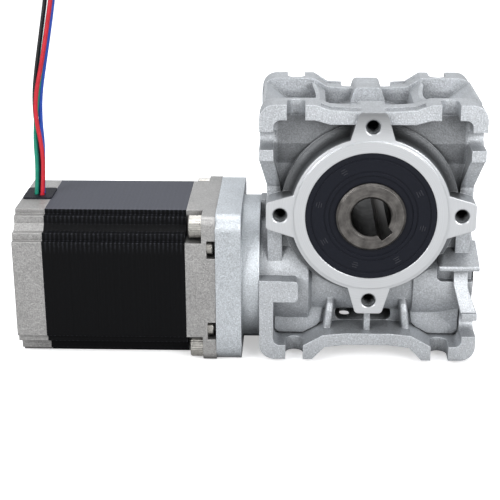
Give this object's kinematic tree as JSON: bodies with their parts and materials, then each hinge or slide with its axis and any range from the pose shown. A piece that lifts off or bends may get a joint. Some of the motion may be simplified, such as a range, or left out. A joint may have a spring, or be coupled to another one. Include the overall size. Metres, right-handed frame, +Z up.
{
  "type": "worm gear reducer with stepper motor",
  "caption": "Cast right-angle worm gear reducer with a hollow keyed output bore, driven by a square stepper motor on an adapter flange, with flying leads.",
  "frame": {"origin": "centre of the hollow output bore, half way between the two output faces", "axes": "+Z up with the mounting feet below; -Y out of the front output face along the bore; +X away from the motor, along the worm axis"},
  "size_m": [0.247, 0.063, 0.1727],
  "materials": {
    "cast_aluminium": "satin",
    "flange_aluminium": "satin",
    "bell_aluminium": "satin",
    "seal_rubber": "satin",
    "shaft_steel": "satin",
    "bearing_steel": "polished",
    "bronze": "satin",
    "hardened_steel": "satin",
    "screw_steel": "satin",
    "dark_screw": "satin",
    "spring_steel": "satin",
    "lamination": "satin",
    "insulator": "matte",
    "copper": "satin",
    "magnet": "matte",
    "board": "satin",
    "wire_red": "satin",
    "wire_green": "satin",
    "wire_black": "satin",
    "wire_blue": "satin"
  },
  "bodies": {
    "case": {"housing": "cast_aluminium", "side_cover": "cast_aluminium", "cover_o_ring": "seal_rubber", "cover_screws": "screw_steel", "output_seal_front": "seal_rubber", "output_seal_rear": "seal_rubber", "worm_seal": "seal_rubber", "worm_circlip_front": "spring_steel", "worm_circlip_rear": "spring_steel", "worm_end_cap": "seal_rubber", "input_flange": "flange_aluminium", "flange_screws": "dark_screw", "motor_front_bell": "bell_aluminium", "motor_rear_bell": "bell_aluminium", "stator_stack": "lamination", "stator_insulators": "insulator", "stator_windings": "copper", "wave_washer": "spring_steel", "motor_tie_screws": "screw_steel", "motor_mount_screws": "screw_steel", "lead_board": "board", "lead_grommet": "seal_rubber", "lead_red": "wire_red", "lead_green": "wire_green", "lead_black": "wire_black", "lead_blue": "wire_blue", "output_bearing_front_outer": "bearing_steel", "output_bearing_rear_outer": "bearing_steel", "worm_bearing_front_outer": "bearing_steel", "worm_bearing_rear_outer": "bearing_steel", "motor_bearing_front_outer": "bearing_steel", "motor_bearing_rear_outer": "bearing_steel"},
    "output": {"output_hub": "shaft_steel", "worm_wheel_rim": "bronze", "output_bearing_front_inner": "bearing_steel", "output_bearing_rear_inner": "bearing_steel"},
    "worm": {"worm_shaft": "hardened_steel", "worm_bearing_front_inner": "bearing_steel", "worm_bearing_rear_inner": "bearing_steel", "input_key": "hardened_steel", "motor_shaft": "bearing_steel", "rotor_cup_rear": "hardened_steel", "rotor_magnet": "magnet", "rotor_cup_front": "hardened_steel", "motor_bearing_front_inner": "bearing_steel", "motor_bearing_rear_inner": "bearing_steel"},
    "output_bearing_front_cage": {"output_bearing_front_balls": "bearing_steel"},
    "output_bearing_rear_cage": {"output_bearing_rear_balls": "bearing_steel"},
    "worm_bearing_front_cage": {"worm_bearing_front_balls": "bearing_steel"},
    "worm_bearing_rear_cage": {"worm_bearing_rear_balls": "bearing_steel"},
    "motor_bearing_front_cage": {"motor_bearing_front_balls": "bearing_steel"},
    "motor_bearing_rear_cage": {"motor_bearing_rear_balls": "bearing_steel"}
  },
  "joints": [
    {"name": "output_spin", "type": "hinge", "parent": "case", "child": "output", "pos_m": [0, 0, 0], "axis": [0, 1, 0], "continuous": true},
    {"name": "worm_spin", "type": "hinge", "parent": "case", "child": "worm", "pos_m": [0, 0, -0.03], "axis": [1, 0, 0], "continuous": true},
    {"name": "output_bearing_front_cage_spin", "type": "hinge", "parent": "case", "child": "output_bearing_front_cage", "pos_m": [0, -0.0169, 0], "axis": [0, 1, 0], "continuous": true},
    {"name": "output_bearing_rear_cage_spin", "type": "hinge", "parent": "case", "child": "output_bearing_rear_cage", "pos_m": [0, 0.0169, 0], "axis": [0, 1, 0], "continuous": true},
    {"name": "worm_bearing_front_cage_spin", "type": "hinge", "parent": "case", "child": "worm_bearing_front_cage", "pos_m": [-0.0275, 0, -0.03], "axis": [1, 0, 0], "continuous": true},
    {"name": "worm_bearing_rear_cage_spin", "type": "hinge", "parent": "case", "child": "worm_bearing_rear_cage", "pos_m": [0.027, 0, -0.03], "axis": [1, 0, 0], "continuous": true},
    {"name": "motor_bearing_front_cage_spin", "type": "hinge", "parent": "case", "child": "motor_bearing_front_cage", "pos_m": [-0.0618, 0, -0.03], "axis": [1, 0, 0], "continuous": true},
    {"name": "motor_bearing_rear_cage_spin", "type": "hinge", "parent": "case", "child": "motor_bearing_rear_cage", "pos_m": [-0.1256, 0, -0.03], "axis": [1, 0, 0], "continuous": true}
  ],
  "couplings": [
    {"joint": "worm_spin", "follows": "output_spin", "ratio": 30},
    {"joint": "output_bearing_front_cage_spin", "follows": "output_spin", "ratio": 0.40833},
    {"joint": "output_bearing_rear_cage_spin", "follows": "output_spin", "ratio": 0.40833},
    {"joint": "worm_bearing_front_cage_spin", "follows": "output_spin", "ratio": 12.316},
    {"joint": "worm_bearing_rear_cage_spin", "follows": "output_spin", "ratio": 10.909},
    {"joint": "motor_bearing_front_cage_spin", "follows": "output_spin", "ratio": 10.8},
    {"joint": "motor_bearing_rear_cage_spin", "follows": "output_spin", "ratio": 10.8}
  ]
}
